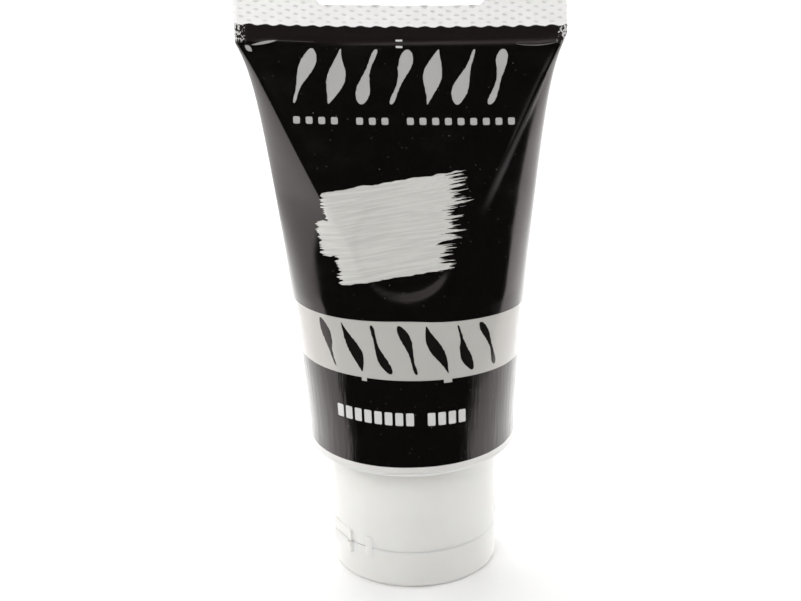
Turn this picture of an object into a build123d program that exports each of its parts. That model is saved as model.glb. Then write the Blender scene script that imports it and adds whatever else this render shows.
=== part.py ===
"""Flip-top paint tube, standing upside down on its closed cap.

Origin: centre of the lid's flat face, on the surface the tube stands on. +Z runs up the tube
to its crimped fin, +Y runs to the back, and -Y is the printed front. Millimetres.
"""
from build123d import *
import math
import os

# Heights above the standing surface
lid_top = 7.6
seam_gap = 0.15
cap_rim = 24.6
shoulder_foot = 25.0
sleeve_start = 26.4
round_end = 30.0
facet_tip = 50.0
seal_start = 104.0
fin_top = 126.5

# Tube sleeve
tube_radius = 20.0
sleeve_wall = 0.5
fin_half_width = 30.5
fin_thickness = 1.0
fin_corner = 2.5
facet_tip_depth = 18.6
least_flat = 0.4
crease_start = 58.0
crease_full = 76.0
crease_slope = 0.78
arc_pull = 0.5523
void_end = 101.5
weld_overlap = 3.0
weld_gap = 0.06

# Hanging slot in the fin: a wide bar with a dome over its middle
slot_foot = 110.4
slot_width = 31.5
slot_bar_height = 5.0
slot_height = 10.4
slot_dome_width = 10.5
slot_corner = 1.3

# Tube head and its neck
head_wall = 1.3
neck_radius = 9.0
neck_bore = 7.4
neck_tip = 11.6
neck_tip_wall = 1.2
orifice_radius = 3.2
foil_thickness = 0.12
washer_thickness = 0.9

# Screw thread, right hand
thread_pitch = 3.0
thread_height = 0.85
thread_root_width = 1.3
thread_crest_width = 0.6
thread_bite = 0.25
male_turns = 2.25
female_turns = 1.75

# Cap
cap_radius = 16.15
cap_wall = 1.2
deck_low = 9.3
deck_high = 10.5
inner_skirt_bore = 10.15
inner_skirt_wall = 1.5
inner_skirt_top = 22.4
snap_radius = 14.7
snap_wall = 1.0
snap_depth = 1.2
bead_height = 0.14
spout_bore = 2.1
spout_root = 4.4
spout_tip_radius = 3.4
spout_tip = 4.2
pin_radius = 1.75
pin_top = 5.5
lid_plate = 1.3
lid_edge_round = 0.9

# Butterfly hinge, 62 degrees round from the front towards the left
hinge_angle = 180 + 28
hinge_proud = 0.25
hinge_height = lid_top + seam_gap / 2
film_radius = 0.3
film_length = 6.0
film_clearance = 0.06
pad_width = 7.0
pad_height = 2.2
pad_depth = 1.4
band_angle = 27.5
band_width_angle = 7.0
band_gap = 0.06
band_thickness = 0.35
band_reach = 2.3
thumb_width = 9.0
thumb_proud = 1.0
thumb_height = 1.5

paint_gap = 0.08

os.makedirs("parts", exist_ok=True)


def finish(part, name):
    """Label a piece and write it to its own STEP file."""
    part.label = name
    export_step(part, "parts/" + name + ".step")
    print(name, "volume", round(part.volume, 1), "solids", len(part.solids()))


def rise(z):
    """Share of the way from the round shoulder to the seal, 0 to 1."""
    return max(0.0, (z - round_end) / (seal_start - round_end))


def half_width(z):
    """Half-width of the sleeve: it widens slowly, then flares close to the seal."""
    flare = fin_half_width - tube_radius
    return tube_radius + flare * (0.8 * rise(z) ** 1.25 + 0.2 * rise(z) ** 14)


def facet_share(z):
    """Share of the way from the facet's lower tip to the seal, 0 to 1."""
    return max(0.0, (z - facet_tip) / (seal_start - facet_tip))


def side_reach(z):
    """Half-width of the curved side beyond the flat facet: a half ellipse that tightens upwards."""
    narrowing = (1 - facet_share(z)) ** 1.2
    return fin_thickness / 2 + (half_width(facet_tip) - least_flat - fin_thickness / 2) * narrowing


def facet_half_width(z):
    """Half-width of the flat front and back facets, which are triangles."""
    return max(least_flat, half_width(z) - side_reach(z))


def half_depth(z):
    """Half-depth of the sleeve: round at the shoulder, then flat facets that meet at the seal."""
    if z > facet_tip:
        return facet_tip_depth + (fin_thickness / 2 - facet_tip_depth) * facet_share(z)
    share = max(0.0, (z - round_end) / (facet_tip - round_end))
    return tube_radius + (facet_tip_depth - tube_radius) * share**1.6


def crease_drop(z, reach, depth):
    """How far the side falls away straight from the facet's crease while it rounds over."""
    sharp = min(1.0, max(0.0, (z - crease_start) / (crease_full - crease_start)))
    return sharp * min(crease_slope * reach, 0.8 * depth)


def sleeve_section(z, inset):
    """Closed outline of the sleeve at height z, moved inwards by inset.

    Each corner is a quarter ellipse, sheared so that it leaves the facet at a crease.
    """
    flat = facet_half_width(z)
    reach = half_width(z) - flat - inset
    depth = half_depth(z) - inset
    drop = crease_drop(z, reach, depth)
    corner = [
        (flat, -depth),
        (flat + arc_pull * reach, arc_pull * drop - depth),
        (flat + reach, arc_pull * (drop - depth)),
        (flat + reach, 0),
    ]
    with BuildSketch(Plane.XY.offset(z)) as section:
        with BuildLine():
            Line((-flat, -depth), (flat, -depth))
            Bezier(*corner)
            Bezier(*[(x, -y) for x, y in reversed(corner)])
            Line((flat, depth), (-flat, depth))
            Bezier(*[(-x, -y) for x, y in corner])
            Bezier(*[(-x, y) for x, y in reversed(corner)])
        make_face()
    return section.sketch.faces()[0]


def sleeve_loft(heights, inset):
    """Body through the sleeve's outlines at the given heights, its facets truly flat."""
    return loft([sleeve_section(z, inset) for z in heights], ruled=True, mode=Mode.PRIVATE)


def ring(low, high, inner, outer):
    """Rectangle of a ring's wall, for revolving, on the XZ plane."""
    with Locations(((inner + outer) / 2, (low + high) / 2)):
        Rectangle(outer - inner, high - low)


def thread_ridge(radius, foot, turns, outward):
    """Helical ridge on a cylinder of the given radius, outside it or inside it."""
    helix = Helix(thread_pitch, thread_pitch * turns, radius).moved(Location((0, 0, foot)))
    inner = -thread_bite * outward
    outer = thread_height * outward
    with BuildSketch(Plane(helix @ 0, x_dir=(1, 0, 0), z_dir=(0, -1, 0))) as profile:
        with BuildLine():
            Polyline(
                (inner, -thread_root_width / 2),
                (outer, -thread_crest_width / 2),
                (outer, thread_crest_width / 2),
                (inner, thread_root_width / 2),
                close=True,
            )
        make_face()
    return sweep(profile.sketch, path=helix, is_frenet=True, mode=Mode.PRIVATE)


def hinge_plane(angle, radius, height):
    """Plane whose X runs outwards from the tube's axis, Y along the wall and Z up."""
    turn = math.radians(angle)
    outward = (math.cos(turn), math.sin(turn), 0)
    return Plane((radius * outward[0], radius * outward[1], height), x_dir=outward, z_dir=(0, 0, 1))


# Tube sleeve: a welded plastic laminate that goes from a circle to a flat crimped fin
shared_heights = [round_end, 36, 43, facet_tip, 56, 62, 68, 74, 80, 86, 91, 95, 98, 100]
sleeve_heights = [sleeve_start] + shared_heights + [void_end, seal_start]
void_heights = [sleeve_start - 1] + shared_heights + [void_end]
outer_body = sleeve_loft(sleeve_heights, 0)
inner_body = sleeve_loft(void_heights, sleeve_wall)

with BuildPart() as tube_sleeve:
    add(outer_body)
    with BuildSketch(Plane.XZ.offset(-fin_thickness / 2)):
        with Locations((0, (seal_start - 1 + fin_top) / 2)):
            fin = Rectangle(2 * fin_half_width, fin_top - seal_start + 1)
        fillet(fin.vertices().group_by(Axis.Z)[-1], fin_corner)
    extrude(amount=fin_thickness)
    add(inner_body, mode=Mode.SUBTRACT)
    with BuildSketch(Plane.XZ.offset(-fin_thickness)):
        with Locations((0, slot_foot + slot_bar_height / 2)):
            RectangleRounded(slot_width, slot_bar_height, slot_corner)
        with Locations((0, slot_foot + slot_height / 2)):
            RectangleRounded(slot_dome_width, slot_height, slot_dome_width / 2 - 0.1)
    extrude(amount=2 * fin_thickness, mode=Mode.SUBTRACT)
finish(tube_sleeve.part, "tube_sleeve")

# Tube head: shoulder, weld ring inside the sleeve, and the threaded neck that points down
inner_radius = tube_radius - sleeve_wall - weld_gap
with BuildPart() as tube_head:
    with BuildSketch(Plane.XZ) as head_profile:
        with BuildLine():
            Polyline(
                (orifice_radius, neck_tip),
                (neck_radius, neck_tip),
                (neck_radius, shoulder_foot - 0.3),
                (tube_radius - 1.6, shoulder_foot),
                (tube_radius, shoulder_foot + 1.0),
                (tube_radius, sleeve_start),
                (inner_radius, sleeve_start),
                (inner_radius, sleeve_start + weld_overlap),
                (inner_radius - 0.9, sleeve_start + weld_overlap),
                (inner_radius - 1.4, shoulder_foot + head_wall + 0.8),
                (neck_bore + 1.0, shoulder_foot + head_wall),
                (neck_bore, shoulder_foot - 0.2),
                (neck_bore, neck_tip + neck_tip_wall),
                (orifice_radius, neck_tip + neck_tip_wall),
                close=True,
            )
        make_face()
    revolve(axis=Axis.Z)
    rim_edges = tube_head.edges().filter_by(GeomType.CIRCLE)
    outer_rim = [edge for edge in rim_edges if edge.radius > tube_radius - 1.7]
    outer_rim = [edge for edge in outer_rim if edge.center().Z < sleeve_start - 0.2]
    fillet(outer_rim, 0.7)
    add(thread_ridge(neck_radius, neck_tip + 1.6, male_turns, 1))
finish(tube_head.part, "tube_head")

# Foil seal under the neck's tip, and the soft washer between it and the cap's deck
with BuildPart() as foil_seal:
    with BuildSketch(Plane.XY.offset(neck_tip - foil_thickness)):
        Circle(neck_radius - 0.3)
    extrude(amount=foil_thickness)
finish(foil_seal.part, "foil_seal")

with BuildPart() as neck_washer:
    with BuildSketch(Plane.XY.offset(deck_high)):
        Circle(neck_radius - 0.2)
        Circle(spout_bore + 1.2, mode=Mode.SUBTRACT)
    extrude(amount=washer_thickness)
    fillet(neck_washer.edges(), 0.15)
finish(neck_washer.part, "neck_washer")

# Paint that fills the head and the sleeve
paint_body = sleeve_loft(shared_heights, sleeve_wall + paint_gap)
paint_foot = neck_tip + neck_tip_wall + paint_gap
paint_outer = inner_radius - paint_gap
with BuildPart() as paint_fill:
    add(paint_body)
    with BuildSketch(Plane.XZ):
        with BuildLine():
            Polyline(
                (0, paint_foot),
                (neck_bore - paint_gap, paint_foot),
                (neck_bore - paint_gap, shoulder_foot),
                (neck_bore + 0.9, shoulder_foot + head_wall + 0.2),
                (inner_radius - 1.6, shoulder_foot + head_wall + 1.0),
                (inner_radius - 1.1, sleeve_start + weld_overlap),
                (inner_radius - 1.1, round_end + 0.2),
                (0, round_end + 0.2),
                close=True,
            )
        make_face()
    revolve(axis=Axis.Z)
finish(paint_fill.part, "paint_fill")

# Hinge cuts and pads, shared by both halves of the cap
base_low = lid_top + seam_gap
hinge_radius = cap_radius + hinge_proud
film_plane = hinge_plane(hinge_angle, hinge_radius, hinge_height)
film_axis_plane = Plane(film_plane.origin, x_dir=film_plane.x_dir, z_dir=film_plane.y_dir)

# Cap base: outer skirt, deck, snap rim, inner threaded skirt and spout
with BuildPart() as cap_base:
    with BuildSketch(Plane.XZ):
        ring(base_low, cap_rim, cap_radius - cap_wall, cap_radius)
        ring(base_low, deck_high, snap_radius - snap_wall, cap_radius)
        ring(base_low - snap_depth, deck_high, snap_radius - snap_wall, snap_radius)
        ring(deck_low, deck_high, spout_bore, cap_radius)
        ring(deck_high, inner_skirt_top, inner_skirt_bore, inner_skirt_bore + inner_skirt_wall)
        with BuildLine():
            Polyline(
                (spout_bore, deck_high),
                (spout_bore, spout_tip),
                (spout_tip_radius, spout_tip),
                (spout_root, deck_low),
                (spout_root, deck_high),
                close=True,
            )
        make_face()
        with Locations((snap_radius, base_low - snap_depth / 2)):
            Circle(bead_height)
    revolve(axis=Axis.Z)
    add(thread_ridge(inner_skirt_bore, deck_high + 4.0, female_turns, -1))
    with BuildSketch(film_plane.offset(seam_gap / 2)):
        with Locations((-pad_depth / 2, 0)):
            Rectangle(pad_depth, pad_width)
    extrude(amount=pad_height)
    with BuildSketch(film_axis_plane):
        Circle(film_radius)
    extrude(amount=film_length / 2, both=True, mode=Mode.SUBTRACT)
finish(cap_base.part, "cap_base")

# Hinge film: the thin bead of plastic that the lid turns about
with BuildPart() as hinge_film:
    with BuildSketch(film_axis_plane):
        Circle(film_radius)
    extrude(amount=film_length / 2, both=True)
finish(hinge_film.part, "hinge_film")

# Lid: the flat disc the tube stands on, with its wall, sealing pin, hinge pad and thumb lip
with BuildPart() as cap_lid:
    with BuildSketch(Plane.XZ):
        ring(0, lid_plate, 0, cap_radius)
        ring(0, lid_top, cap_radius - cap_wall, cap_radius)
        ring(0, pin_top, 0, pin_radius)
    revolve(axis=Axis.Z)
    fillet(cap_lid.edges().group_by(Axis.Z)[0], lid_edge_round)
    chamfer(cap_lid.faces().sort_by(Axis.Z).filter_by(Plane.XY)[-2].edges(), 0.4)
    with BuildSketch(film_plane.offset(-seam_gap / 2 - pad_height)):
        with Locations((-pad_depth / 2, 0)):
            Rectangle(pad_depth, pad_width)
    extrude(amount=pad_height)
    with BuildSketch(film_axis_plane):
        Circle(film_radius + film_clearance)
    extrude(amount=film_length / 2 + film_clearance, both=True, mode=Mode.SUBTRACT)
    with BuildSketch(hinge_plane(hinge_angle - 180, cap_radius, lid_top - thumb_height)):
        Ellipse(thumb_proud, thumb_width / 2)
        with Locations((-cap_wall / 2 - thumb_proud, 0)):
            Rectangle(2 * thumb_proud, thumb_width + 1, mode=Mode.SUBTRACT)
    extrude(amount=thumb_height)
finish(cap_lid.part, "cap_lid")

# Hinge bands: two thin straps, one each side of the film, that hold the lid open or shut
with BuildPart() as hinge_bands:
    for side in (-1, 1):
        middle = hinge_angle + side * band_angle
        start = middle - band_width_angle / 2
        with BuildSketch(Plane.XY.offset(hinge_height - band_reach)):
            with BuildLine():
                inner = CenterArc((0, 0), cap_radius + band_gap, start, band_width_angle)
                outer = CenterArc(
                    (0, 0), cap_radius + band_gap + band_thickness, start, band_width_angle
                )
                Line(inner @ 0, outer @ 0)
                Line(inner @ 1, outer @ 1)
            make_face()
        extrude(amount=2 * band_reach)
finish(hinge_bands.part, "hinge_bands")
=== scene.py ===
"""Flip-top paint tube, standing upside down on its cap: the looks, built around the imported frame.

Lengths are in millimetres until a mesh is made, heights are above the surface that the tube
stands on, and the printed front faces -Y.
"""
import math

import bmesh
import bpy
import numpy as np
from mathutils import Matrix, Vector


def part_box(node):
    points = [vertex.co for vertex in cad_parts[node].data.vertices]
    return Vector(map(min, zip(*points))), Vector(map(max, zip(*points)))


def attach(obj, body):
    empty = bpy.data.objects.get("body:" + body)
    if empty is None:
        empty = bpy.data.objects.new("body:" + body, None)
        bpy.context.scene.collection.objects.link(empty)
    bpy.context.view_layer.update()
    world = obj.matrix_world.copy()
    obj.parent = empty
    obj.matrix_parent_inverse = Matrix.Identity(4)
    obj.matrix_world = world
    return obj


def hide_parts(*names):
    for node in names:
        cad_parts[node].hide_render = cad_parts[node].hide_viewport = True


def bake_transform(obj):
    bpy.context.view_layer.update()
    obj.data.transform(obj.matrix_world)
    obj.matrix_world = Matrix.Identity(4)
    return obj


MM = 0.001

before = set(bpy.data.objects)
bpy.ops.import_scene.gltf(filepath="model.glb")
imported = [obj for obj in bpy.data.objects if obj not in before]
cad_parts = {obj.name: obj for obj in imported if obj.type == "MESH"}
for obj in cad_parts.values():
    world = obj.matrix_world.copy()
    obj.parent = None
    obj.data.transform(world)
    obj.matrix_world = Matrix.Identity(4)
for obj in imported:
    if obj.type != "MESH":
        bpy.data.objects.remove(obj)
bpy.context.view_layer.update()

# Camera: where it stands, how it is turned, and its lens
CAMERA_DISTANCE = 274.9
CAMERA_HEIGHT = 148.4
CAMERA_DOWN = math.radians(19.0)
CAMERA_PAN = math.radians(-0.35)
CAMERA_ROLL = math.radians(1.6)
CAMERA_LENS = 67.6

# Sleeve, from the frame's own box where that says it
SLEEVE_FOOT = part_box("tube_sleeve")[0].z / MM
FIN_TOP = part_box("tube_sleeve")[1].z / MM
FIN_HALF_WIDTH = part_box("tube_sleeve")[1].x / MM
TUBE_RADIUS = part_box("tube_head")[1].x / MM
SLEEVE_WALL = 0.5
SLEEVE_COLUMNS = 260
FIN_THICKNESS = 1.0
FIN_CORNER = 2.5
TOP_ROUNDING = 0.5
LIP_HEIGHT = 0.4
LIP_DEPTH = 0.05
ROUND_END = 30.0
FACET_TIP = 50.0
FACET_TIP_DEPTH = 18.6
LEAST_FLAT = 0.4
SEAL_START = 104.0
VOID_END = 101.5
CREASE_START = 58.0
CREASE_FULL = 76.0
CREASE_SLOPE_LEFT = 0.78
CREASE_SLOPE_RIGHT = 0.42

# How the filled, handled sleeve is bent and dented
BOW_START = 55.0
BOW_DEPTH = 1.6
LEAN_START = 36.0
LEAN = 0.35
HOLLOW_DEPTH = 0.35
HOLLOW_FULL = 66.0
HOLLOW_FADE = 92.0
DENT_X = -0.5
DENT_HEIGHT = 68.5
DENT_RADIUS = 10.2
DENT_DEPTH = 0.38
DENT_FLOOR = 0.79
RIPPLE_DEPTH = 0.10
RIPPLE_FULL = 44.0
RIPPLE_FADE = 96.0
RAGGED_DEPTH = 0.12
CREASE_BEAD_FOOT = 73.0
CREASE_BEAD_TOP = 101.5
CREASE_BEAD_HEIGHT = 0.22
CREASE_BEAD_WIDTH = 0.62

# Small folds below the crimp: start, end, height, half width and sag
FOLDS = (
    ((-22.4, 104.6), (-27.6, 103.7), 0.26, 0.45, 0.0),
    ((-28.6, 103.6), (-27.3, 102.5), 0.18, 0.45, 0.0),
    ((20.8, 102.8), (28.8, 103.0), 0.15, 0.34, 0.35),
)

# Hanging slot in the fin
SLOT_FOOT = 110.4
SLOT_WIDTH = 31.0
SLOT_BAR_HEIGHT = 5.0
SLOT_HEIGHT = 10.4
SLOT_DOME_WIDTH = 10.5
SLOT_CORNER = 1.9
SLOT_SNAP = 0.17

# The print, the crimp and the slot all sit slightly askew: lower on the right, per mm
ASKEW = 0.030

# Print, as heights on the sleeve and distances along it from the middle of the front
INK_TOP = 106.7
INK_FOOT = 27.6
TITLE_HEIGHT = 97.9
FINE_ROW_HEIGHT = 90.2
SWATCH_MIDDLE_U = -2.5
SWATCH_MIDDLE_V = 71.2
SWATCH_TILT = math.radians(9)

# Strokes of the swatch, from its middle: middle across, half width, start and end along
SWATCH_STROKES = ((5.4, 3.0, -12.2, 12.6), (0.1, 3.2, -14.8, 10.8), (-5.4, 2.9, -11.6, 8.6))

# Band round the sleeve, the marks on it, and the row of blocks below it
BAND_FOOT = 44.7
BAND_TOP = 55.3
MARKS_HEIGHT = 50.2
BLOCKS_HEIGHT = 37.2

# Softness of a printed edge, and how far along the print the fin's side edge is
EDGE = 0.05
EDGE_REACH = 31.0

# Lattice on the fin, which starts at the ink's edge, and the knurled crimp below it
LATTICE_PITCH = 2.9
LATTICE_ROW = 0.69
LATTICE_SLANT = 0.8
LATTICE_START = INK_TOP + 0.2
LATTICE_FULL = INK_TOP + 0.9
DIMPLE_HALF_LENGTH = 0.36
DIMPLE_HALF_HEIGHT = 0.17
DIMPLE_DEPTH = 0.20
CRIMP_PITCH = 0.75
CRIMP_LEDGE_PITCH = 1.6
CRIMP_DEPTH = 0.05
MOST_RELIEF = 0.35

# Cap
CAP_RADIUS = 16.15
SEAM = (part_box("hinge_bands")[0].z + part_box("hinge_bands")[1].z) / 2 / MM
HINGE_DEGREES = 208.0
STRAP_DEGREES = 27.5
STRAP_HALF_DEGREES = 3.5
STRAP_THICKNESS = 0.14
SHARP_EDGE = math.radians(40)

# Colours
BLACK_INK = (0.0024, 0.0019, 0.0018, 1)
BLACK_INK_CLOUD = (0.0034, 0.0026, 0.0024, 1)
CRIMP_BLACK = (0.0095, 0.0068, 0.0060, 1)
SPECK_GREY = (0.07, 0.067, 0.064, 1)
GREY_INK = (0.44, 0.435, 0.43, 1)
PALE_INK = (0.50, 0.49, 0.465, 1)
SWATCH_INK = (0.55, 0.545, 0.52, 1)
SWATCH_LIGHT = (0.66, 0.655, 0.625, 1)
MARK_INK = (0.007, 0.0065, 0.006, 1)
WHITE_INK = (0.66, 0.66, 0.65, 1)
# Painted highlight colour, for the folds below the crimp and the right crease
PAINTED_HIGHLIGHT_GREY = (0.36, 0.35, 0.345, 1)
WORN_GREY = (0.58, 0.57, 0.56, 1)
FIN_WHITE = (0.93, 0.925, 0.915, 1)
FIN_WHITE_CLOUD = (0.88, 0.88, 0.87, 1)
# Painted shade in the fin's dimples
DIMPLE_PAINTED_SHADE = (0.74, 0.735, 0.73, 1)
# Painted shade on the bare laminate at the sleeve's foot, by the shoulder
FOOT_PAINTED_SHADE = (0.74, 0.73, 0.71, 1)
CAP_WHITE = (0.86, 0.85, 0.825, 1)
CAP_WHITE_CLOUD = (0.83, 0.82, 0.795, 1)
HEAD_WHITE = (0.80, 0.80, 0.78, 1)
HEAD_WHITE_CLOUD = (0.76, 0.76, 0.74, 1)
PLASTIC_ROUGHNESS = 0.42

# Light tent: how bright its parts are
SKY = 0.60
LOW_WALL_SIDE = 1.75
LOW_WALL_BEHIND = 2.3
LOW_WALL_RIGHT = 0.8
FRONT_WINDOW = 1.9
FRONT_DARK = 0.03
BACKDROP = 0.93


# ---------------------------------------------------------------- shapes of the sleeve

def share(z, low, high):
    """Share of the way from low to high, 0 to 1."""
    return np.clip((z - low) / (high - low), 0.0, 1.0)


def smooth(t):
    return t * t * (3 - 2 * t)


def half_width(z):
    rise = share(z, ROUND_END, SEAL_START)
    return TUBE_RADIUS + (FIN_HALF_WIDTH - TUBE_RADIUS) * (0.8 * rise**1.25 + 0.2 * rise**14)


def half_depth(z):
    low = TUBE_RADIUS + (FACET_TIP_DEPTH - TUBE_RADIUS) * share(z, ROUND_END, FACET_TIP) ** 1.6
    facet = share(z, FACET_TIP, SEAL_START)
    return low + (FIN_THICKNESS / 2 - FACET_TIP_DEPTH) * facet


def flat_half_width(z):
    """Half the width of the flat facet on the front and back."""
    narrowing = (1 - share(z, FACET_TIP, SEAL_START)) ** 1.2
    widest = half_width(FACET_TIP) - LEAST_FLAT - FIN_THICKNESS / 2
    return np.maximum(LEAST_FLAT, half_width(z) - FIN_THICKNESS / 2 - widest * narrowing)


def section(z, inset, columns):
    """Points of the sleeve's outline at height z, evenly spaced, from the left edge round the front.

    Returns the points (2 * columns of them) and the length round the outline.
    """
    flat = flat_half_width(z)
    reach = half_width(z) - flat - inset
    depth = half_depth(z) - inset
    corner = FIN_CORNER - (FIN_TOP - z)
    if corner > 0:
        flat = flat - (FIN_CORNER - math.sqrt(max(FIN_CORNER**2 - corner**2, 0.0)))
    turn = np.linspace(0, math.pi / 2, 40)
    corners = []
    for slope in (CREASE_SLOPE_LEFT, CREASE_SLOPE_RIGHT):
        drop = share(z, CREASE_START, CREASE_FULL) * min(slope * reach, 0.8 * depth)
        away = -(depth - drop) * np.sin(turn) - drop * (1 - np.cos(turn))
        corners.append(np.stack([flat + reach * np.cos(turn), away], 1))
    left, right = corners
    outline = np.concatenate([left * [-1, 1], right[::-1]])
    steps = np.hypot(*np.diff(outline, axis=0).T)
    along = np.concatenate([[0], np.cumsum(steps)])
    wanted = np.linspace(0, along[-1], columns + 1)
    front = np.stack([np.interp(wanted, along, outline[:, k]) for k in (0, 1)], 1)
    back = (front * [1, -1])[::-1][1:-1]
    return np.concatenate([front, back]), 2 * along[-1]


def slot_distance(x, z):
    """Signed distance to the hanging slot's outline, negative inside it."""
    def rounded_box(u, v, half_u, half_v, radius):
        du = np.abs(u) - half_u + radius
        dv = np.abs(v) - half_v + radius
        outside = np.hypot(np.maximum(du, 0), np.maximum(dv, 0))
        return outside + np.minimum(np.maximum(du, dv), 0) - radius

    bar_middle = SLOT_FOOT + SLOT_BAR_HEIGHT / 2
    bar = rounded_box(x, z - bar_middle, SLOT_WIDTH / 2, SLOT_BAR_HEIGHT / 2, SLOT_CORNER)
    dome_middle = SLOT_FOOT + SLOT_HEIGHT / 2
    dome_half = SLOT_DOME_WIDTH / 2
    dome = rounded_box(x, z - dome_middle, dome_half, SLOT_HEIGHT / 2, dome_half - 0.1)
    return np.minimum(bar, dome)


def embossing(x, z):
    """Depth pressed into the fin: a lattice of slanted dimples, and the knurled crimp below."""
    height = z + ASKEW * x
    dents = np.zeros_like(x)
    row = np.floor((height - INK_TOP) / LATTICE_ROW)
    for near in (-1, 0, 1, 2):
        this_row = row + near
        dz = height - INK_TOP - this_row * LATTICE_ROW
        offset = np.mod(this_row, 2) * LATTICE_PITCH / 2
        dx = np.mod(x - offset + LATTICE_PITCH / 2, LATTICE_PITCH) - LATTICE_PITCH / 2
        slant_x = dx + LATTICE_SLANT * dz
        dents += np.exp(-((slant_x / DIMPLE_HALF_LENGTH) ** 2) - (dz / DIMPLE_HALF_HEIGHT) ** 2)
    lattice = DIMPLE_DEPTH * dents * share(height, LATTICE_START, LATTICE_FULL)
    in_crimp = share(height, SEAL_START - 0.6, SEAL_START + 0.2)
    in_crimp = in_crimp * (1 - share(height, INK_TOP - 0.3, LATTICE_START))
    ribs = 0.5 + 0.5 * np.cos(2 * math.pi * x / CRIMP_PITCH)
    ledges = 0.5 + 0.5 * np.cos(2 * math.pi * (height - SEAL_START) / CRIMP_LEDGE_PITCH)
    return lattice + in_crimp * CRIMP_DEPTH * (ribs + 1.2 * ledges)


def fold(x, z, start, end, height, half_width, sag):
    """A narrow fold that stands out along a line on the sleeve, and dies away at both ends."""
    run_x, run_z = end[0] - start[0], end[1] - start[1]
    t = ((x - start[0]) * run_x + (z - start[1]) * run_z) / (run_x**2 + run_z**2)
    t = np.clip(t, 0.0, 1.0)
    middle = 4 * t * (1 - t)
    away = np.hypot(x - start[0] - t * run_x, z - start[1] - t * run_z + sag * middle)
    return height * np.sqrt(middle) * np.exp(-((away / half_width) ** 2))


def soft_shape(x, y, z, along):
    """Bends, dents and folds of the handled sleeve: how far points move in x and in y."""
    across = x / FIN_HALF_WIDTH
    bow = BOW_DEPTH * smooth(share(z, BOW_START, SEAL_START)) * (2 * across**2 - 1)
    facet = smooth(share(z, FACET_TIP - 4, HOLLOW_FULL)) * smooth(1 - share(z, HOLLOW_FADE, SEAL_START))
    hollow = HOLLOW_DEPTH * facet * np.exp(-((x / (0.55 * flat_half_width(z) + 2.0)) ** 2))
    reach = np.hypot(x - DENT_X, z - DENT_HEIGHT) / DENT_RADIUS
    towards_front = np.clip(-y / 4.0, 0.0, 1.0)
    dent = DENT_DEPTH * towards_front * (1 - smooth(share(reach, DENT_FLOOR, 1.0)))
    ripple = RIPPLE_DEPTH * np.sin(along * 0.31 + z * 0.11) * np.sin(z * 0.17 + 1.3)
    ripple = ripple * smooth(share(z, ROUND_END, RIPPLE_FULL))
    ripple = ripple * (1 - smooth(share(z, RIPPLE_FADE, SEAL_START)))
    raised = sum(fold(x, z, *line) for line in FOLDS)
    crease = flat_half_width(z) + 0.25
    bead = CREASE_BEAD_HEIGHT * np.exp(-(((x - crease) / CREASE_BEAD_WIDTH) ** 2))
    bead = bead * share(z, CREASE_BEAD_FOOT, CREASE_BEAD_FOOT + 6.0)
    bead = bead * (1 - share(z, CREASE_BEAD_TOP - 2.5, CREASE_BEAD_TOP))
    on_front = np.clip(-y / 0.3, 0.0, 1.0)
    lean = -LEAN * share(z, LEAN_START, FIN_TOP)
    return lean, bow - np.sign(y) * (hollow + dent + ripple - (raised + bead) * on_front)


# ---------------------------------------------------------------- meshes

def new_object(name, vertices, faces, smooth_faces=True):
    """A mesh object from millimetre points."""
    mesh = bpy.data.meshes.new(name)
    mesh.from_pydata([tuple(point) for point in np.asarray(vertices) * MM], [], faces)
    mesh.validate()
    mesh.update()
    if smooth_faces:
        mesh.shade_smooth()
    piece = bpy.data.objects.new(name, mesh)
    bpy.context.scene.collection.objects.link(piece)
    return piece


def bridge(low, high, count):
    """Faces between two closed rings of points, whose first points are low and high."""
    faces = []
    for j in range(count):
        k = (j + 1) % count
        faces.append((low + k, low + j, high + j, high + k))
    return faces


def front_to_back(start, columns, upward):
    """Faces across a ring of the sleeve, from each column of its front half to the back half."""
    faces = []
    for j in range(columns):
        back, next_back = (-j) % (2 * columns), (-j - 1) % (2 * columns)
        ring = [start + j, start + j + 1, start + next_back, start + back]
        if not upward:
            ring.reverse()
        faces.append(tuple(dict.fromkeys(ring)))
    return faces


def from_front_middle(around):
    """Where each column is along a ring, as a share of its length from the middle of the front."""
    return (np.arange(around) / around - 0.25)[None, :]


def sleeve_rows():
    """Heights of the outer skin's rows, closest together where the relief is finest."""
    fine_start = SEAL_START - 6.0
    fin_start = SEAL_START - 0.8
    fin_end = FIN_TOP - TOP_ROUNDING
    return np.concatenate([
        [SLEEVE_FOOT, SLEEVE_FOOT + 0.12, SLEEVE_FOOT + LIP_HEIGHT],
        np.arange(SLEEVE_FOOT + 1.0, fine_start, 0.8),
        np.arange(fine_start, fin_start, 0.3),
        np.arange(fin_start, fin_end, 0.24),
        fin_end + TOP_ROUNDING * np.sin(np.linspace(0, math.pi / 2, 6)),
    ])


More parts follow.
